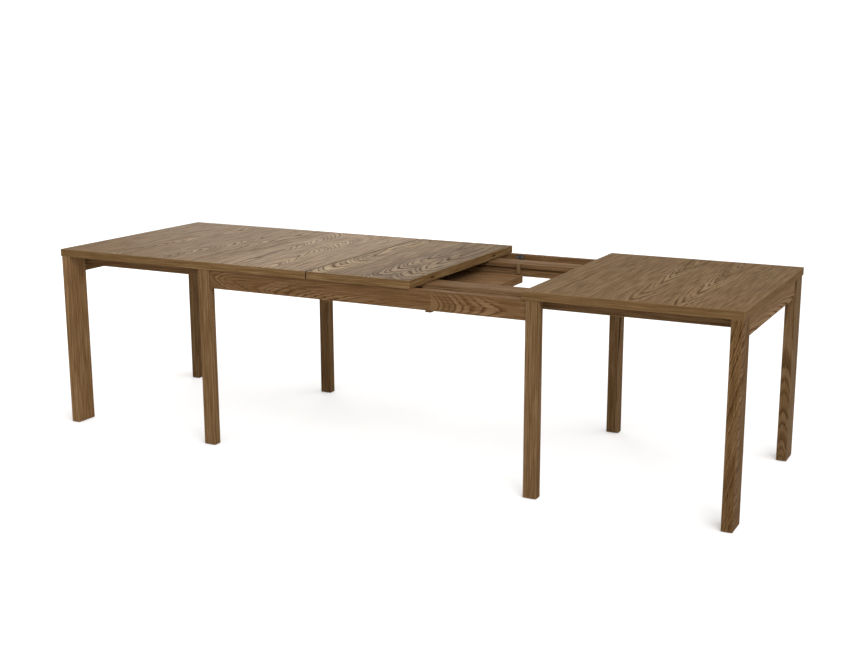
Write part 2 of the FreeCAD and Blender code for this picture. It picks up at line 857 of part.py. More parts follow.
# Right end and left end, which are alike but for the seam edges of their tops
end_set = {
    "end_apron": [end_apron()],
    "corner_leg_front": [corner_leg_front()],
    "corner_leg_back": [flipped_front(corner_leg_front())],
    "glides": end_glides(),
    "bearer_front": [bearer_front()],
    "bearer_back": [flipped_front(bearer_front())],
    "bearer_keys": front_and_back(bearer_key()),
    "bearer_screws": bearer_screw_set(),
    "leg_dowels": leg_dowel_set(),
    "top_buttons": [drilled_button(y_mid) for y_mid in button_places()],
    "button_screws": [button_screw(y_mid)[0] for y_mid in button_places()],
    "slide_front": [slide_front()],
    "slide_back": [flipped_front(slide_front())],
    "slide_keys": front_and_back(slide_key()),
}
for name, solids in end_set.items():
    pieces["right_" + name] = solids
    pieces["left_" + name] = [flipped_end(solid) for solid in solids]
pieces["right_top"] = [right_top()]
pieces["left_top"] = [left_top()]
pieces["left_top_tongues"] = seam_tongues(-half_bays)

# Leaves
pieces["leaf_1"] = [leaf(-half_bays)]
pieces["leaf_1_tongues"] = seam_tongues(-half_bays + leaf_width)
pieces["leaf_2"] = [leaf(-half_bays + leaf_width + loose_seam)]
pieces["leaf_3"] = [stowed_leaf()]

for name, solids in pieces.items():
    shape = solids[0] if len(solids) == 1 else Part.makeCompound(solids)
    shape.exportStep(os.path.join("parts", name + ".step"))
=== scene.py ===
import math
import bpy
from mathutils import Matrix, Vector


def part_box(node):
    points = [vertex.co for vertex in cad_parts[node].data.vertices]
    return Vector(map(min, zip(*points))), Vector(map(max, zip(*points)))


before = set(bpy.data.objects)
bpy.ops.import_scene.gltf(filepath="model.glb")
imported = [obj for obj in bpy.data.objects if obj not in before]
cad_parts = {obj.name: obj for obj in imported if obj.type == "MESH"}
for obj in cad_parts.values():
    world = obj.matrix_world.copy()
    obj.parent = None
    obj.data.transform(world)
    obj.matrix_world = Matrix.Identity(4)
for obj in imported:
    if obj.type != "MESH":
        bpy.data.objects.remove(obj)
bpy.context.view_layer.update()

# Inner legs: four slim posts of smoked oak, sawn along the grain, planed, oiled and rubbed down.
# They stand under the middle frame, and the aprons' tenons are glued into them.


def add_node(tree, kind, **settings):
    node = tree.nodes.new(kind)
    for name, value in settings.items():
        setattr(node, name, value)
    return node


def feed(tree, value, socket):
    if isinstance(value, bpy.types.NodeSocket):
        tree.links.new(value, socket)
    else:
        socket.default_value = value


def maths(tree, operation, *values):
    node = add_node(tree, "ShaderNodeMath", operation=operation)
    for value, socket in zip(values, node.inputs):
        feed(tree, value, socket)
    return node.outputs[0]


def times(tree, first, second):
    return maths(tree, "MULTIPLY", first, second)


def plus(tree, first, second):
    return maths(tree, "ADD", first, second)


def scaled(tree, value, factor, offset):
    return maths(tree, "MULTIPLY_ADD", value, factor, offset)


def opposite(tree, mask):
    return maths(tree, "SUBTRACT", 1.0, mask)


def smooth_step(tree, value, low, high):
    node = add_node(tree, "ShaderNodeMapRange", interpolation_type="SMOOTHSTEP")
    feed(tree, value, node.inputs["Value"])
    feed(tree, low, node.inputs["From Min"])
    feed(tree, high, node.inputs["From Max"])
    return node.outputs["Result"]


def mixed(tree, factor, first, second, kind="RGBA"):
    node = add_node(tree, "ShaderNodeMix", data_type=kind)
    feed(tree, factor, node.inputs["Factor"])
    feed(tree, first, node.inputs["A"])
    feed(tree, second, node.inputs["B"])
    return node.outputs["Result"]


def vector_of(tree, x, y, z):
    node = add_node(tree, "ShaderNodeCombineXYZ")
    for value, socket in zip((x, y, z), node.inputs):
        feed(tree, value, socket)
    return node.outputs[0]


def parts_of(tree, vector):
    node = add_node(tree, "ShaderNodeSeparateXYZ")
    tree.links.new(vector, node.inputs[0])
    return node.outputs


def vector_maths(tree, operation, first, second):
    node = add_node(tree, "ShaderNodeVectorMath", operation=operation)
    tree.links.new(first, node.inputs[0])
    tree.links.new(second, node.inputs[1])
    return node.outputs[0]


def place_on_piece(tree):
    return add_node(tree, "ShaderNodeTexCoord").outputs["Object"]


def noise(tree, vector, scale, detail):
    node = add_node(tree, "ShaderNodeTexNoise", noise_dimensions="3D")
    feed(tree, vector, node.inputs["Vector"])
    node.inputs["Scale"].default_value = scale
    node.inputs["Detail"].default_value = detail
    return node.outputs["Fac"]


# Marks drawn out along the grain: few in a metre of length, many in a metre of width or depth.
def drawn_out(tree, grain_spot, per_length, per_width, detail, shift=0.0):
    along, across, depth = grain_spot
    stretched = vector_of(tree, scaled(tree, along, per_length, shift), times(tree, across, per_width),
                          times(tree, depth, per_width))
    return noise(tree, stretched, 1.0, detail)


def new_group(name, inputs, outputs):
    group = bpy.data.node_groups.new(name, "ShaderNodeTree")
    for label in inputs:
        kind = "NodeSocketVector" if label in ("Low", "High") else "NodeSocketFloat"
        group.interface.new_socket(name=label, in_out="INPUT", socket_type=kind)
    for label in outputs:
        group.interface.new_socket(name=label, in_out="OUTPUT", socket_type="NodeSocketFloat")
    entry = group.nodes.new("NodeGroupInput")
    leave = group.nodes.new("NodeGroupOutput")
    return group, entry.outputs, leave.inputs


def placed(tree, group, **values):
    node = add_node(tree, "ShaderNodeGroup", node_tree=group)
    for label, value in values.items():
        feed(tree, value, node.inputs[label])
    return node.outputs


# Oak's growth rings as a saw lays them open. Heart is where the trunk's middle runs across the board,
# pith how deep it lies under the face, lean how fast it sinks along the board and bend how that changes,
# drift how far the heart moves sideways, and peak how sharp the arches are. Ring is a year's growth and
# wander how far the trunk strays from a straight line. Lengths are in metres.
def make_oak_figure():
    group, given, result = new_group(
        "oak_figure",
        ("Along", "Across", "Depth", "Heart", "Pith", "Lean", "Bend", "Drift", "Peak", "Seed", "Ring", "Wander"),
        ("Figure", "Pores", "Height"))
    along, across, depth, seed = (given[label] for label in ("Along", "Across", "Depth", "Seed"))
    grain_spot = (along, across, depth)

    # The trunk strays slowly, more to the sides than up and down.
    def slow_wave(per_length, per_width, seed_step, layer):
        shifted = scaled(group, along, per_length, times(group, seed, seed_step))
        spot = vector_of(group, shifted, times(group, across, per_width), layer)
        return plus(group, noise(group, spot, 1.0, detail=1.0), -0.5)

    rise_layer, sideways_share = 3.3, 2.4
    sway = slow_wave(per_length=2.0, per_width=3.0, seed_step=13.7, layer=seed)
    rise = slow_wave(per_length=2.6, per_width=2.0, seed_step=7.1, layer=plus(group, seed, rise_layer))
    heart_line = scaled(group, along, given["Drift"], given["Heart"])
    beside = plus(group, maths(group, "SUBTRACT", across, heart_line),
                  times(group, sway, times(group, given["Wander"], sideways_share)))
    slope = scaled(group, along, given["Bend"], given["Lean"])
    below = plus(group, plus(group, scaled(group, along, slope, given["Pith"]), depth),
                 times(group, rise, given["Wander"]))
    aside = maths(group, "ABSOLUTE", beside)
    peaked = times(group, aside, plus(group, aside, given["Peak"]))
    radius = maths(group, "SQRT", plus(group, peaked, times(group, below, below)))

    # Years differ in width, and fibres make the edge of each ring ragged.
    swings_per_metre, year_seed_step, year_swing, ragged_swing = 80.0, 5.3, 2.6, 0.8
    year_spot = vector_of(group, scaled(group, radius, swings_per_metre, times(group, seed, year_seed_step)),
                          seed, 0.0)
    uneven = noise(group, year_spot, 1.0, detail=1.0)
    ragged = drawn_out(group, grain_spot, per_length=5.5, per_width=210.0, detail=2.0)
    count = plus(group, maths(group, "DIVIDE", radius, given["Ring"]),
                 plus(group, times(group, uneven, year_swing), times(group, ragged, ragged_swing)))
    year = maths(group, "FLOOR", count)
    season = maths(group, "FRACT", count)
    lot = add_node(group, "ShaderNodeTexWhiteNoise", noise_dimensions="2D")
    feed(group, vector_of(group, year, seed, 0.0), lot.inputs["Vector"])
    luck = lot.outputs["Value"]

    # Early wood is dark and open, late wood light and dense, and both show most near the heart.
    late_begins, late_full, late_fades, year_ends = 0.0, 0.4, 0.88, 1.0
    heart_zone, plain_zone = 0.012, 0.06
    plain_marks, least_marks = 0.25, 0.4
    late = times(group, smooth_step(group, season, late_begins, late_full),
                 opposite(group, smooth_step(group, season, late_fades, year_ends)))
    near = opposite(group, smooth_step(group, aside, heart_zone, plain_zone))
    early = times(group, opposite(group, late), scaled(group, near, 1.0 - plain_marks, plain_marks))
    marks = times(group, early, scaled(group, luck, 1.0 - least_marks, least_marks))
    glow = times(group, times(group, late, near), luck)

    # Streaks and threads follow the rings, and fibres follow the grain.
    def ring_streaks(per_year, per_length):
        spot = vector_of(group, times(group, count, per_year), scaled(group, along, per_length, seed), seed)
        return noise(group, spot, 1.0, detail=2.0)

    mark_share, glow_share, thread_share, streak_share = -0.38, 0.2, 0.2, 0.28
    fibre_share, figure_base = 0.75, -0.07
    streak = ring_streaks(per_year=0.42, per_length=1.4)
    thread = ring_streaks(per_year=2.4, per_length=6.0)
    fibre = drawn_out(group, grain_spot, per_length=8.0, per_width=210.0, detail=3.0, shift=seed)
    lines = plus(group, scaled(group, marks, mark_share, times(group, glow, glow_share)),
                 times(group, thread, thread_share))
    grain_lines = plus(group, times(group, streak, streak_share), scaled(group, fibre, fibre_share, figure_base))
    group.links.new(plus(group, lines, grain_lines), result["Figure"])

    # Pores are short dashes, fewer in the late wood, which stands a little higher.
    pore_begins, pore_full, late_closes, late_rise = 0.56, 0.7, 0.75, 0.35
    dashes = drawn_out(group, grain_spot, per_length=46.0, per_width=1150.0, detail=1.0)
    pores = times(group, smooth_step(group, dashes, pore_begins, pore_full),
                  scaled(group, late, -late_closes, 1.0))
    group.links.new(pores, result["Pores"])
    group.links.new(maths(group, "SUBTRACT", times(group, late, late_rise), pores), result["Height"])
    return group


# Arrises rubbed by hands and cloths: a mask that rises towards the edges of a straight piece. On oak it
# also lightens the edges as a painted highlight.
def make_rubbed_arris():
    group, given, result = new_group("rubbed_arris", ("Low", "High", "Reach"), ("Mask",))
    spot = place_on_piece(group)
    from_low = parts_of(group, vector_maths(group, "SUBTRACT", spot, given["Low"]))
    from_high = parts_of(group, vector_maths(group, "SUBTRACT", given["High"], spot))
    x, y, z = (maths(group, "MINIMUM", from_low[axis], from_high[axis]) for axis in range(3))
    edge = maths(group, "MINIMUM", maths(group, "MAXIMUM", x, y),
                 maths(group, "MINIMUM", maths(group, "MAXIMUM", y, z), maths(group, "MAXIMUM", x, z)))
    reach_swing, least_reach, fully_worn, unworn = 1.5, 0.25, 0.15, 1.0
    ragged = scaled(group, noise(group, spot, scale=38.0, detail=3.0), reach_swing, least_reach)
    away = maths(group, "DIVIDE", edge, times(group, given["Reach"], ragged))
    group.links.new(opposite(group, smooth_step(group, away, fully_worn, unworn)), result["Mask"])
    return group


# Oil that was rubbed in by hand: slow, uneven patches over the whole piece.
def make_oil_patches():
    group, given, result = new_group("oil_patches", ("Seed",), ("Mask",))
    spot = vector_maths(group, "ADD", place_on_piece(group), given["Seed"])
    group.links.new(noise(group, spot, scale=5.5, detail=3.0), result["Mask"])
    return group


oak_figure = make_oak_figure()
rubbed_arris = make_rubbed_arris()
oil_patches = make_oil_patches()

# How a piece is cut: the axes along its grain, across its broad face and into its depth.
ALONG_X = (0, 1, 2)
ALONG_Y = (1, 0, 2)
UPRIGHT = (2, 0, 1)
UPRIGHT_BROAD_Y = (2, 1, 0)
FLAT_ALONG_X = (0, 2, 1)
FLAT_ALONG_Y = (1, 2, 0)


# A colour by its levels on a screen, 0 to 255, as shares of light.
def colour(*levels):
    foot, curve = 0.055, 2.4
    return tuple(((level / 255 + foot) / (1 + foot)) ** curve for level in levels) + (1.0,)


def new_finish(name):
    material = bpy.data.materials.new(name)
    material.use_nodes = True
    tree = material.node_tree
    return material, tree, tree.nodes["Principled BSDF"].inputs


def lay_finish(tree, surface, base, rough, height, strength, relief):
    bump = add_node(tree, "ShaderNodeBump")
    bump.inputs["Strength"].default_value = strength
    bump.inputs["Distance"].default_value = relief
    tree.links.new(height, bump.inputs["Height"])
    tree.links.new(base, surface["Base Color"])
    tree.links.new(rough, surface["Roughness"])
    tree.links.new(bump.outputs["Normal"], surface["Normal"])


def dress(node, material):
    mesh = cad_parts[node].data
    mesh.materials.clear()
    mesh.materials.append(material)


# A panel glued up of several boards has one entry for each: where it starts across the panel, then its
# heart, pith, lean and tone. One ramp with hard steps hands them out across the panel. A heart may lie up
# to half the panel's width outside it.
def glued_boards(tree, across, low, high, boards):
    span, deepest_pith, steepest_lean = high - low, 0.2, 0.25
    ramp = add_node(tree, "ShaderNodeValToRGB")
    ramp.color_ramp.interpolation = "CONSTANT"
    stops = ramp.color_ramp.elements
    for number, (start, heart, pith, lean, tone) in enumerate(boards):
        stop = stops[0] if number == 0 else stops.new((start - low) / span)
        stop.color = (((heart - low) / span + 0.5) / 2, pith / deepest_pith,
                      lean / (2 * steepest_lean) + 0.5, tone)
    stops[len(stops) - 1].color = stops[len(stops) - 2].color
    feed(tree, scaled(tree, across, 1 / span, -low / span), ramp.inputs["Fac"])
    lots = add_node(tree, "ShaderNodeSeparateColor")
    tree.links.new(ramp.outputs["Color"], lots.inputs["Color"])
    heart = scaled(tree, lots.outputs[0], 2 * span, low - span / 2)
    pith = times(tree, lots.outputs[1], deepest_pith)
    lean = scaled(tree, lots.outputs[2], 2 * steepest_lean, -steepest_lean)
    return heart, pith, lean, ramp.outputs["Alpha"]


# Faces at the rim of a panel: lips across the boards' ends, and sides along the outer boards.
def rim_faces(tree, grain):
    upright_enough = 0.6
    facing = parts_of(tree, add_node(tree, "ShaderNodeNewGeometry").outputs["Normal"])
    lip, side = (maths(tree, "GREATER_THAN", maths(tree, "ABSOLUTE", facing[axis]), upright_enough)
                 for axis in grain[:2])
    return lip, side, maths(tree, "MAXIMUM", lip, side)


# Smoked oak on one piece. Boards is the heart, pith, lean and tone of a single board, or a list for a
# glued panel. A lipped panel has plain strips round its rim, with their grain along the edge.
def dress_in_oak(node, grain, boards, seed, ring=0.0042, wander=0.014, bend=0.0, drift=0.0, peak=0.0, bold=1.0,
                 lip_tone=None, painted_side_shade=None, dark=(70, 48, 28), mid=(122, 92, 59), light=(164, 134, 99),
                 rough=0.62, sheen_level=0.02):
    low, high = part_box(node)
    material, tree, surface = new_finish("oak_" + node)
    spot = parts_of(tree, place_on_piece(tree))
    along, across, depth = (spot[axis] for axis in grain)
    depth = plus(tree, depth, -(low[grain[2]] + high[grain[2]]) / 2)
    if isinstance(boards, list):
        heart, pith, lean, tone = glued_boards(tree, across, low[grain[1]], high[grain[1]], boards)
    else:
        heart, pith, lean, tone = boards
    lipped = lip_tone is not None
    if lipped:
        strip_heart, strip_pith, strip_lean = -0.08, 0.03, 0.008
        lip, side, rim = rim_faces(tree, grain)
        # Where a side shade is given, the side faces are darkened as painted shade for the seams between panels.
        strip_tone = lip_tone if painted_side_shade is None else scaled(tree, side, painted_side_shade - lip_tone, lip_tone)
        along, across = mixed(tree, lip, along, across, "FLOAT"), mixed(tree, rim, across, depth, "FLOAT")
        heart, pith, lean, bend, drift, tone = (
            mixed(tree, rim, panel, strip, "FLOAT") for panel, strip in (
                (heart, strip_heart), (pith, strip_pith), (lean, strip_lean), (bend, 0.0), (drift, 0.0),
                (tone, strip_tone)))
    figure = placed(tree, oak_figure, Along=along, Across=across, Depth=depth, Heart=heart, Pith=pith, Lean=lean,
                    Bend=bend, Drift=drift, Peak=peak, Seed=seed, Ring=ring, Wander=wander)
    patches = placed(tree, oil_patches, Seed=seed)["Mask"]
    arris = placed(tree, rubbed_arris, Low=low, High=high, Reach=0.005)["Mask"]

    # The figure runs from dark through mid to light, sooner on a bold piece, and calmer on the strips.
    middle, dark_reach, light_reach, strip_calm = 0.5, 0.3, 0.32, 0.3
    ramp = add_node(tree, "ShaderNodeValToRGB")
    stops = ramp.color_ramp.elements
    stops[0].position, stops[0].color = middle - dark_reach / bold, colour(*dark)
    stops[1].position, stops[1].color = middle + light_reach / bold, colour(*light)
    stops.new(middle).color = colour(*mid)
    lines = figure["Figure"]
    if lipped:
        lines = scaled(tree, plus(tree, lines, -middle), scaled(tree, rim, -strip_calm, 1.0), middle)
    tree.links.new(lines, ramp.inputs["Fac"])

    # Oil patches and the board's tone lighten or darken it, pores are darker, and arrises are lighter:
    # rubbed wear, and also a painted highlight along the edges.
    patch_swing, tone_step, pore_share, pore_shade, arris_share = 0.24, 0.24, 0.5, 0.7, 0.2
    shade = add_node(tree, "ShaderNodeHueSaturation")
    tree.links.new(ramp.outputs["Color"], shade.inputs["Color"])
    patched = scaled(tree, patches, patch_swing, 1.0 - patch_swing)
    tree.links.new(scaled(tree, tone, tone_step, patched), shade.inputs["Value"])
    pitted = mixed(tree, times(tree, figure["Pores"], pore_share), shade.outputs["Color"],
                   colour(*(level * pore_shade for level in dark)))
    worn_and_highlit = mixed(tree, times(tree, arris, arris_share), pitted, colour(*light))

    # Oil makes the surface uneven, rubbing polishes the arrises, and pores stay rough.
    patch_rough, arris_polish, pore_rough = 0.16, 0.06, 0.2
    oiled = scaled(tree, patches, patch_rough, rough - patch_rough / 2)
    polished = plus(tree, oiled, times(tree, arris, -arris_polish))
    roughness = plus(tree, polished, times(tree, figure["Pores"], pore_rough))
    lay_finish(tree, surface, worn_and_highlit, roughness, figure["Height"], strength=0.3, relief=0.0003)

    # A thin film of oil lies on the light, dense wood. It sinks into the open dark wood, and the strips
    # keep little of it.
    bare_share, film_share, film_begins, film_full, strip_loss = 0.15, 0.06, 0.2, 0.6, 0.7
    film = smooth_step(tree, figure["Figure"], film_begins, film_full)
    if lipped:
        film = times(tree, film, scaled(tree, rim, -strip_loss, 1.0))
    tree.links.new(film, surface["Coat Weight"])
    mirror = math.sqrt(film_share * sheen_level)
    surface["Coat IOR"].default_value = (1 + mirror) / (1 - mirror)
    surface["Coat Roughness"].default_value = rough
    surface["Specular IOR Level"].default_value = bare_share * sheen_level
    dress(node, material)


# Pieces of one kind, each sawn from a board of its own.
def dress_alike(boards, grain, first_seed, seed_step, **looks):
    for number, (node, board) in enumerate(boards.items()):
        dress_in_oak(node, grain, board, first_seed + number * seed_step, **looks)


inner_leg_boards = {  # heart, pith, lean, tone
    "inner_leg_front_left": (-0.640, 0.070, 0.010, 1.3),
    "inner_leg_front_right": (0.655, 0.045, -0.012, 0.65),
    "inner_leg_back_left": (-0.745, 0.060, 0.015, 0.5),
    "inner_leg_back_right": (0.725, 0.050, 0.012, 0.75),
}
dress_alike(inner_leg_boards, UPRIGHT, first_seed=11.3, seed_step=3.7, wander=0.01, bold=0.85)

# Glides: flat discs of dark plastic, moulded with a fine grain and nailed under the feet, so that the
# ends can be drawn over a floor without marking it.


def glide_plastic():
    material, tree, surface = new_finish("glide_plastic")
    scuff_begins, scuff_full, scuff_share, smooth, scuff_rough = 0.5, 0.72, 0.5, 0.55, 0.2
    spot = place_on_piece(tree)
    moulded = noise(tree, spot, scale=1400.0, detail=2.0)
    scuffs = smooth_step(tree, noise(tree, spot, scale=190.0, detail=4.0), scuff_begins, scuff_full)
    plain = mixed(tree, moulded, colour(36, 32, 29), colour(56, 51, 47))
    scuffed = mixed(tree, times(tree, scuffs, scuff_share), plain, colour(92, 86, 80))
    roughness = scaled(tree, scuffs, scuff_rough, smooth)
    lay_finish(tree, surface, scuffed, roughness, moulded, strength=0.25, relief=0.0002)
    return material


plastic = glide_plastic()
for node in ("inner_glides", "right_glides", "left_glides"):
    dress(node, plastic)

# Aprons of the middle frame: oak boards on edge, tenoned into the inner legs. The front one is butted
# of two boards, and the right-hand board was sawn flat, so that its rings run out in arches.
apron_tones = {"dark": (70, 46, 27), "mid": (121, 89, 57), "light": (162, 129, 94)}
apron_sawing = {  # heart, pith, lean, tone
    "front_apron_left": ((0.640, 0.170, -0.110, 0.75), {"drift": -0.08, "peak": 0.06, "wander": 0.035}),
    "front_apron_right": ((0.671, 0.185, 0.419, 0.64), {"bend": -0.326, "peak": 0.05, "wander": 0.008}),
    "back_apron": ((0.660, 0.045, 0.020, 0.6), {}),
}
for number, (node, (board, sawing)) in enumerate(apron_sawing.items()):
    dress_in_oak(node, FLAT_ALONG_X, board, seed=5.2 + number * 2.3, bold=0.65, **sawing, **apron_tones)

# Splice block and hangers: short oak blocks, planed only, screwed behind the aprons. The long one joins
# the front apron's two boards, the others hold up the leaf shelf.
block_tones = {"dark": (78, 56, 37), "mid": (122, 94, 66), "light": (158, 131, 101)}
splice_board = (0.640, 0.060, 0.01, 0.5)  # heart, pith, lean, tone
hanger_board = (0.720, 0.050, 0.01, 0.5)
dress_in_oak("apron_splice_block", FLAT_ALONG_X, splice_board, seed=23.1, **block_tones)
dress_in_oak("carrier_hangers", FLAT_ALONG_X, hanger_board, seed=24.9, **block_tones)

# Screws: zinc-plated steel, turned and rolled, then tumbled in the plating barrel, which leaves a dull
# crystal bloom and small nicks. Each sits in its own drilled hole.


def zinc_steel():
    material, tree, surface = new_finish("zinc_steel")
    nick_begins, nick_full, nick_share, bright, bloom_rough = 0.62, 0.72, 0.5, 0.26, 0.3
    spot = place_on_piece(tree)
    bloom = noise(tree, spot, scale=260.0, detail=4.0)
    nicks = smooth_step(tree, noise(tree, spot, scale=1100.0, detail=2.0), nick_begins, nick_full)
    plated = mixed(tree, bloom, colour(104, 106, 110), colour(176, 178, 182))
    nicked = mixed(tree, times(tree, nicks, nick_share), plated, colour(70, 70, 72))
    roughness = scaled(tree, bloom, bloom_rough, bright)
    lay_finish(tree, surface, nicked, roughness, nicks, strength=0.2, relief=0.0001)
    surface["Metallic"].default_value = 1.0
    return material


steel = zinc_steel()
for node in ("apron_screws", "runner_screws", "carrier_screws", "right_bearer_screws", "left_bearer_screws",
             "right_button_screws", "left_button_screws", "catch_screws"):
    dress(node, steel)

# Cross rails: flat oak bars across the frame, tenoned into both aprons. The fixed runners lie on them
# and are screwed from below.
rail_tones = {"dark": (75, 53, 34), "mid": (125, 94, 62), "light": (162, 131, 97), "sheen_level": 0.024}
cross_rail_boards = {  # heart, pith, lean, tone
    "cross_rail_left": (-0.56, 0.05, 0.015, 0.5),
    "cross_rail_right": (0.68, 0.05, 0.015, 0.5),
}
dress_alike(cross_rail_boards, ALONG_Y, first_seed=31.4, seed_step=1.9, **rail_tones)

# Fixed runners: two long oak rails on the cross rails, planed, and grooved on both sides with a cutter.
# The slides' keys run in the outer groove.
runner_boards = {  # heart, pith, lean, tone
    "fixed_runner_front": (-0.33, 0.06, 0.012, 0.5),
    "fixed_runner_back": (0.17, 0.06, 0.012, 0.5),
}
dress_alike(runner_boards, ALONG_X, first_seed=41.2, seed_step=2.7, rough=0.7, **rail_tones)

# Rests: slim upright slips of pale, unstained oak. Each hooks into the groove of the back runner and
# reaches up to the height where the leaves lie.
rest_board = (0.31, 0.06, 0.01, 0.5)  # heart, pith, lean, tone
dress_in_oak("leaf_rests", UPRIGHT, rest_board, seed=47.7, rough=0.6,
             dark=(92, 68, 44), mid=(138, 109, 77), light=(166, 138, 104))

# Catches: small plates pressed from zinc-plated sheet, with two rounded ribs, screwed inside the aprons
# under the place of a leaf's edge. Handling has greyed them.


def catch_plate_steel():
    material, tree, surface = new_finish("catch_plate_steel")
    grey_share, bright, grey_rough = 0.5, 0.32, 0.3
    spot = place_on_piece(tree)
    rolled = drawn_out(tree, parts_of(tree, spot), per_length=60.0, per_width=900.0, detail=3.0)
    greyed = noise(tree, spot, scale=120.0, detail=3.0)
    sheet = mixed(tree, rolled, colour(74, 72, 70), colour(128, 124, 120))
    handled = mixed(tree, times(tree, greyed, grey_share), sheet, colour(64, 61, 58))
    roughness = scaled(tree, greyed, grey_rough, bright)
    lay_finish(tree, surface, handled, roughness, rolled, strength=0.2, relief=0.0001)
    surface["Metallic"].default_value = 1.0
    return material


dress("leaf_catches", catch_plate_steel())

# Leaf carriers and spacers: thin oak slats across the frame, screwed from below to spacer blocks under
# the runners and to the blocks behind the aprons. A spare leaf lies on them.
carrier_boards = {  # heart, pith, lean, tone
    "leaf_carrier_left": (-0.20, 0.04, 0.015, 0.55),
    "leaf_carrier_right": (0.33, 0.04, 0.015, 0.55),
}
dress_alike(carrier_boards, ALONG_Y, first_seed=51.4, seed_step=2.3, **rail_tones)
spacer_board = (-0.18, 0.06, 0.0, 0.5)
dress_in_oak("carrier_spacers", ALONG_X, spacer_board, seed=56.3, **rail_tones)

# Slides: the middle lane of each side, oak rails that travel part of the way between the fixed runners
# and the bearers. They were waxed, so they are a little smoother than the runners.
slide_boards = {  # heart, pith, lean, tone
    "right_slide_front": (-0.36, 0.05, 0.012, 0.8),
    "right_slide_back": (0.25, 0.05, 0.012, 0.8),
    "left_slide_front": (-0.24, 0.05, 0.012, 0.8),
    "left_slide_back": (0.37, 0.05, 0.012, 0.8),
}
dress_alike(slide_boards, ALONG_X, first_seed=61.9, seed_step=1.3, rough=0.66, **rail_tones)

# Keys: strips of beech seated in the slides and bearers. They run in the next lane's groove, and the
# groove's ends stop them.


def dress_in_beech(node, grain, seed):
    low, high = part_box(node)
    material, tree, surface = new_finish("beech_" + node)
    fleck_begins, fleck_full, fleck_share, arris_share, planed, streak_rough = 0.6, 0.68, 0.55, 0.25, 0.42, 0.2
    spot = parts_of(tree, place_on_piece(tree))
    grain_spot = [spot[axis] for axis in grain]
    streaks = drawn_out(tree, grain_spot, per_length=5.0, per_width=160.0, detail=3.0, shift=seed)
    dashes = drawn_out(tree, grain_spot, per_length=240.0, per_width=1500.0, detail=1.0)
    flecks = smooth_step(tree, dashes, fleck_begins, fleck_full)
    arris = placed(tree, rubbed_arris, Low=low, High=high, Reach=0.003)["Mask"]
    plain = mixed(tree, streaks, colour(158, 122, 84), colour(206, 172, 132))
    flecked = mixed(tree, times(tree, flecks, fleck_share), plain, colour(136, 98, 62))
    handled = mixed(tree, times(tree, arris, arris_share), flecked, colour(118, 92, 66))
    roughness = scaled(tree, streaks, streak_rough, planed)
    lay_finish(tree, surface, handled, roughness, streaks, strength=0.2, relief=0.0002)
    surface["Specular IOR Level"].default_value = 0.3
    dress(node, material)


for number, node in enumerate(("right_slide_keys", "left_slide_keys", "right_bearer_keys", "left_bearer_keys")):
    dress_in_beech(node, ALONG_X, seed=71.3 + number * 1.7)

# Corner legs: flat posts of smoked oak with the broad side to the end of the table, grain upright. The
# end aprons are tenoned into them, and dowels hold them to the tops.
front_right_sawing = {"ring": 0.008, "bold": 0.75, "dark": (62, 41, 22), "mid": (116, 84, 50),
                      "light": (160, 127, 88)}
corner_leg_sawing = {  # heart, pith, lean, tone
    "right_corner_leg_front": (UPRIGHT_BROAD_Y, (-0.452, 0.244, -0.270, 0.0), front_right_sawing),
    "right_corner_leg_back": (UPRIGHT, (1.402, 0.080, 0.140, 0.0), {"ring": 0.006, "bend": -0.1, "bold": 0.6}),
    "left_corner_leg_front": (UPRIGHT_BROAD_Y, (-0.330, 0.080, 0.012, 2.3), {"bold": 0.85}),
    "left_corner_leg_back": (UPRIGHT_BROAD_Y, (0.420, 0.050, 0.015, 0.45), {"bold": 0.85}),
}
for number, (node, (grain, board, sawing)) in enumerate(corner_leg_sawing.items()):
    dress_in_oak(node, grain, board, seed=81.3 + number * 1.7, wander=0.012, **sawing)

# End aprons: oak boards on edge between the corner legs, tenoned at both ends and slotted inside for
# the buttons that hold the top.
end_apron_boards = {  # heart, pith, lean, tone
    "right_end_apron": (0.650, 0.040, 0.030, 0.95),
    "left_end_apron": (0.700, 0.045, -0.020, 0.48),
}
dress_alike(end_apron_boards, FLAT_ALONG_Y, first_seed=87.3, seed_step=1.7, bold=0.7)

# Bearers: the outer lane, oak rails screwed up into the end tops and let into the end aprons. They
# carry the ends on the slides.
bearer_boards = {  # heart, pith, lean, tone
    "right_bearer_front": (0.62, 0.05, 0.012, 0.45),
    "right_bearer_back": (0.74, 0.05, 0.012, 0.45),
    "left_bearer_front": (0.75, 0.05, 0.012, 0.45),
    "left_bearer_back": (0.63, 0.05, 0.012, 0.45),
}
dress_alike(bearer_boards, FLAT_ALONG_X, first_seed=91.9, seed_step=1.3, **rail_tones)

# Dowels, buttons and tongues: turned and sawn beech. Dowels join the legs to the tops, buttons grip the
# end aprons, and tongues line up one leaf with the next.
for number, node in enumerate(("right_leg_dowels", "left_leg_dowels")):
    dress_in_beech(node, UPRIGHT, seed=101.3 + number * 1.7)
for number, node in enumerate(("right_top_buttons", "left_top_buttons", "left_top_tongues", "leaf_1_tongues")):
    dress_in_beech(node, ALONG_X, seed=105.3 + number * 1.7)

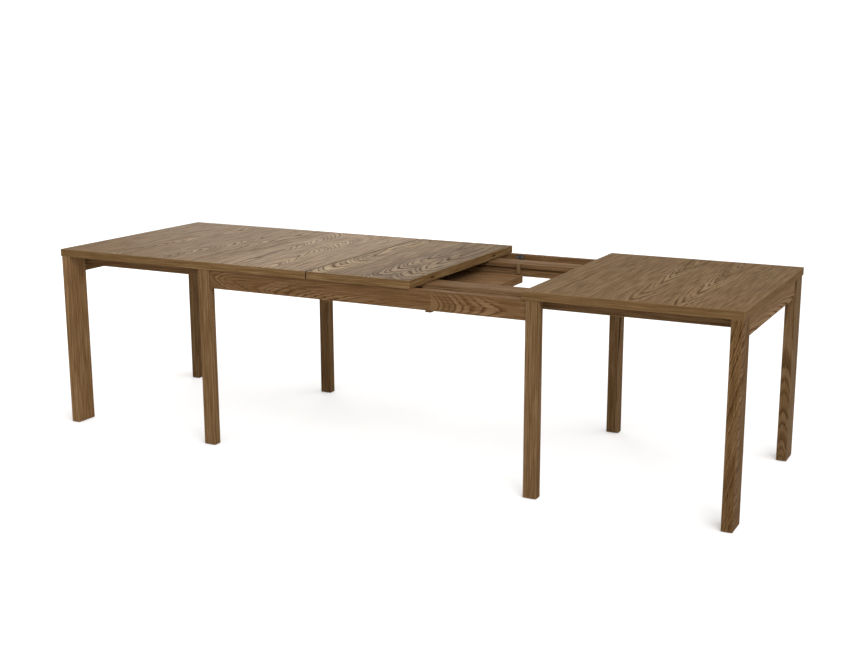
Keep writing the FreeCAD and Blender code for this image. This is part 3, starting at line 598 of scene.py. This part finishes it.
# End tops: panels glued up of oak boards with the grain across the table, lipped front and back with a
# strip along the edge. The arches show where a board was cut near the heart.
top_tones = {"dark": (72, 49, 27), "mid": (125, 95, 59), "light": (168, 138, 99)}
left_top_boards = [  # start, heart, pith, lean, tone
    (-1.430, -1.560, 0.080, 0.008, 0.52),
    (-1.320, -1.420, 0.070, -0.010, 0.6),
    (-1.205, -1.110, 0.120, 0.030, 0.7),
    (-1.060, -1.160, 0.090, 0.010, 0.55),
    (-0.955, -0.870, 0.150, 0.070, 0.62),
    (-0.790, -0.780, 0.120, 0.040, 0.6),
    (-0.730, -0.620, 0.070, 0.010, 0.66),
]
right_top_boards = [
    (0.660, 0.560, 0.090, -0.010, 0.34),
    (0.790, 0.700, 0.080, 0.008, 0.28),
    (0.900, 0.790, 0.070, 0.010, 0.24),
    (0.985, 1.040, 0.095, -0.040, 0.14),
    (1.115, 1.212, 0.090, -0.045, 0.2),
    (1.290, 1.440, 0.070, 0.010, 0.12),
    (1.370, 1.250, 0.080, 0.008, 0.16),
]
dress_in_oak("left_top", ALONG_Y, left_top_boards, seed=121.3, wander=0.025, bend=-0.1, drift=0.1, peak=0.03,
             bold=1.2, lip_tone=0.85, sheen_level=0.034, **top_tones)
dress_in_oak("right_top", ALONG_Y, right_top_boards, seed=129.7, peak=0.03, lip_tone=0.1, sheen_level=0.034,
             **top_tones)

# Leaves: panels like the tops, made to lie between them. The first one's long edges carry painted shade
# for the seams where it meets its neighbours. The second was cut nearer the heart and shows bold arches.
leaf_1_boards = [  # start, heart, pith, lean, tone
    (-0.660, -0.590, 0.140, 0.050, 0.9),
    (-0.555, -0.455, 0.160, 0.100, 1.05),
    (-0.385, -0.260, 0.070, 0.012, 0.85),
    (-0.300, -0.420, 0.070, -0.010, 0.95),
    (-0.240, -0.330, 0.060, 0.010, 0.0),
]
leaf_2_boards = [
    (-0.218, -0.165, 0.140, -0.055, 1.6),
    (-0.105, -0.200, 0.070, 0.015, 1.3),
    (-0.005, 0.075, 0.150, -0.070, 0.15),
    (0.115, 0.160, 0.150, -0.050, 0.0),
]
dress_in_oak("leaf_1", ALONG_Y, leaf_1_boards, seed=137.1, wander=0.025, bend=0.085, drift=-0.1, peak=0.03,
             bold=1.3, lip_tone=1.1, painted_side_shade=-2.0, sheen_level=0.054, **top_tones)
dress_in_oak("leaf_2", ALONG_Y, leaf_2_boards, seed=143.9, ring=0.005, wander=0.035, bend=0.1, peak=0.03,
             bold=1.15, lip_tone=2.0, sheen_level=0.037,
             dark=(74, 51, 30), mid=(108, 81, 49), light=(172, 144, 105))

# Stowed leaf: a third leaf of the same make, turned a quarter turn and laid on the carriers between the
# fixed runners.
leaf_3_boards = [  # start, heart, pith, lean, tone
    (-0.219, -0.160, 0.050, 0.015, 0.85),
    (-0.105, -0.010, 0.070, -0.012, 0.9),
    (0.010, 0.080, 0.040, 0.020, 0.85),
    (0.125, 0.240, 0.060, 0.010, 0.9),
]
dress_in_oak("leaf_3", ALONG_X, leaf_3_boards, seed=151.7, peak=0.03, lip_tone=0.55,
             dark=(74, 49, 30), mid=(128, 94, 62), light=(168, 135, 99))

# Floor: a plain white studio floor that runs out of sight. It takes the soft shadows of the table, and
# beside each foot a painted shadow dims its glow, on the side away from the lamp at the front right.


def seen_directly(tree):
    ray = add_node(tree, "ShaderNodeLightPath")
    glossy = maths(tree, "MAXIMUM", ray.outputs["Is Camera Ray"], ray.outputs["Is Glossy Ray"])
    return maths(tree, "MAXIMUM", glossy, ray.outputs["Is Transmission Ray"])


floor_reach = 40.0
floor_white = 0.82
floor_glow = 0.62
shade_samples = 12
shade_reach = 0.25
shade_share = 0.9
shade_facing = (0.83, -0.42, 0.36)
floor_mesh = bpy.data.meshes.new("floor")
floor_mesh.from_pydata([(-floor_reach, -floor_reach, 0), (floor_reach, -floor_reach, 0),
                        (floor_reach, floor_reach, 0), (-floor_reach, floor_reach, 0)], [], [(0, 1, 2, 3)])
floor = bpy.data.objects.new("floor", floor_mesh)
bpy.context.collection.objects.link(floor)
floor_paint, floor_tree, floor_surface = new_finish("floor_paint")
floor_surface["Base Color"].default_value = (floor_white, floor_white, floor_white, 1.0)
floor_surface["Roughness"].default_value = 1.0
floor_surface["Specular IOR Level"].default_value = 0.0
floor_surface["Emission Color"].default_value = (1.0, 1.0, 1.0, 1.0)
# Painted shadow: an occlusion test aimed at the front right dims the floor's glow beside each foot.
painted_foot_shadow = add_node(floor_tree, "ShaderNodeAmbientOcclusion", samples=shade_samples)
painted_foot_shadow.inputs["Distance"].default_value = shade_reach
feed(floor_tree, vector_of(floor_tree, *shade_facing), painted_foot_shadow.inputs["Normal"])
painted_shadow_factor = scaled(floor_tree, painted_foot_shadow.outputs["AO"], shade_share, 1.0 - shade_share)
floor_light = times(floor_tree, times(floor_tree, seen_directly(floor_tree), floor_glow), painted_shadow_factor)
floor_tree.links.new(floor_light, floor_surface["Emission Strength"])
floor_mesh.materials.append(floor_paint)

# Studio: white walls all round that light the table evenly, a large soft lamp high at the front right,
# and a soft panel low at the back left whose sheen lies on the leaves.
wall_light = 0.58
world = bpy.data.worlds.new("studio")
bpy.context.scene.world = world
world.use_nodes = True
sky = world.node_tree
walls = sky.nodes["Background"]
walls.inputs["Color"].default_value = (1.0, 1.0, 1.0, 1.0)
sky.links.new(scaled(sky, seen_directly(sky), 1.0 - wall_light, wall_light), walls.inputs["Strength"])


def soft_lamp(name, place, aim, width, height, watts, tint):
    lamp = bpy.data.lights.new(name, "AREA")
    lamp.shape = "RECTANGLE"
    lamp.size = width
    lamp.size_y = height
    lamp.energy = watts
    lamp.color = tint
    holder = bpy.data.objects.new(name, lamp)
    holder.location = place
    holder.rotation_euler = (Vector(aim) - Vector(place)).to_track_quat("-Z", "Y").to_euler()
    bpy.context.collection.objects.link(holder)


soft_lamp("front_lamp", place=(3.4, -3.6, 4.6), aim=(0.0, 0.0, 0.5), width=2.4, height=2.4, watts=110.0,
          tint=(1.0, 1.0, 1.0))
soft_lamp("back_panel", place=(-3.6, 4.7, 1.9), aim=(-0.4, 0.0, 0.7), width=3.0, height=2.0, watts=80.0,
          tint=(1.0, 0.98, 0.92))

# Camera: at the height of a standing eye, in front of the table and well to the right of its middle, as
# in the photograph. It looks a little down on the tops.
image_width = 867
focal_length = 1265.43  # in pixels of that width
sensor_width = 36.0
down_tilt, roll, left_turn = 0.21614, 0.00151, 0.4729
camera_data = bpy.data.cameras.new("camera")
camera_data.sensor_fit = "HORIZONTAL"
camera_data.sensor_width = sensor_width
camera_data.lens = focal_length * sensor_width / image_width
camera = bpy.data.objects.new("camera", camera_data)
camera.location = (2.34035, -4.41077, 1.57063)
camera.rotation_euler = (math.pi / 2 - down_tilt, roll, left_turn)
bpy.context.collection.objects.link(camera)
bpy.context.scene.camera = camera
bpy.context.scene.view_settings.view_transform = "Standard"
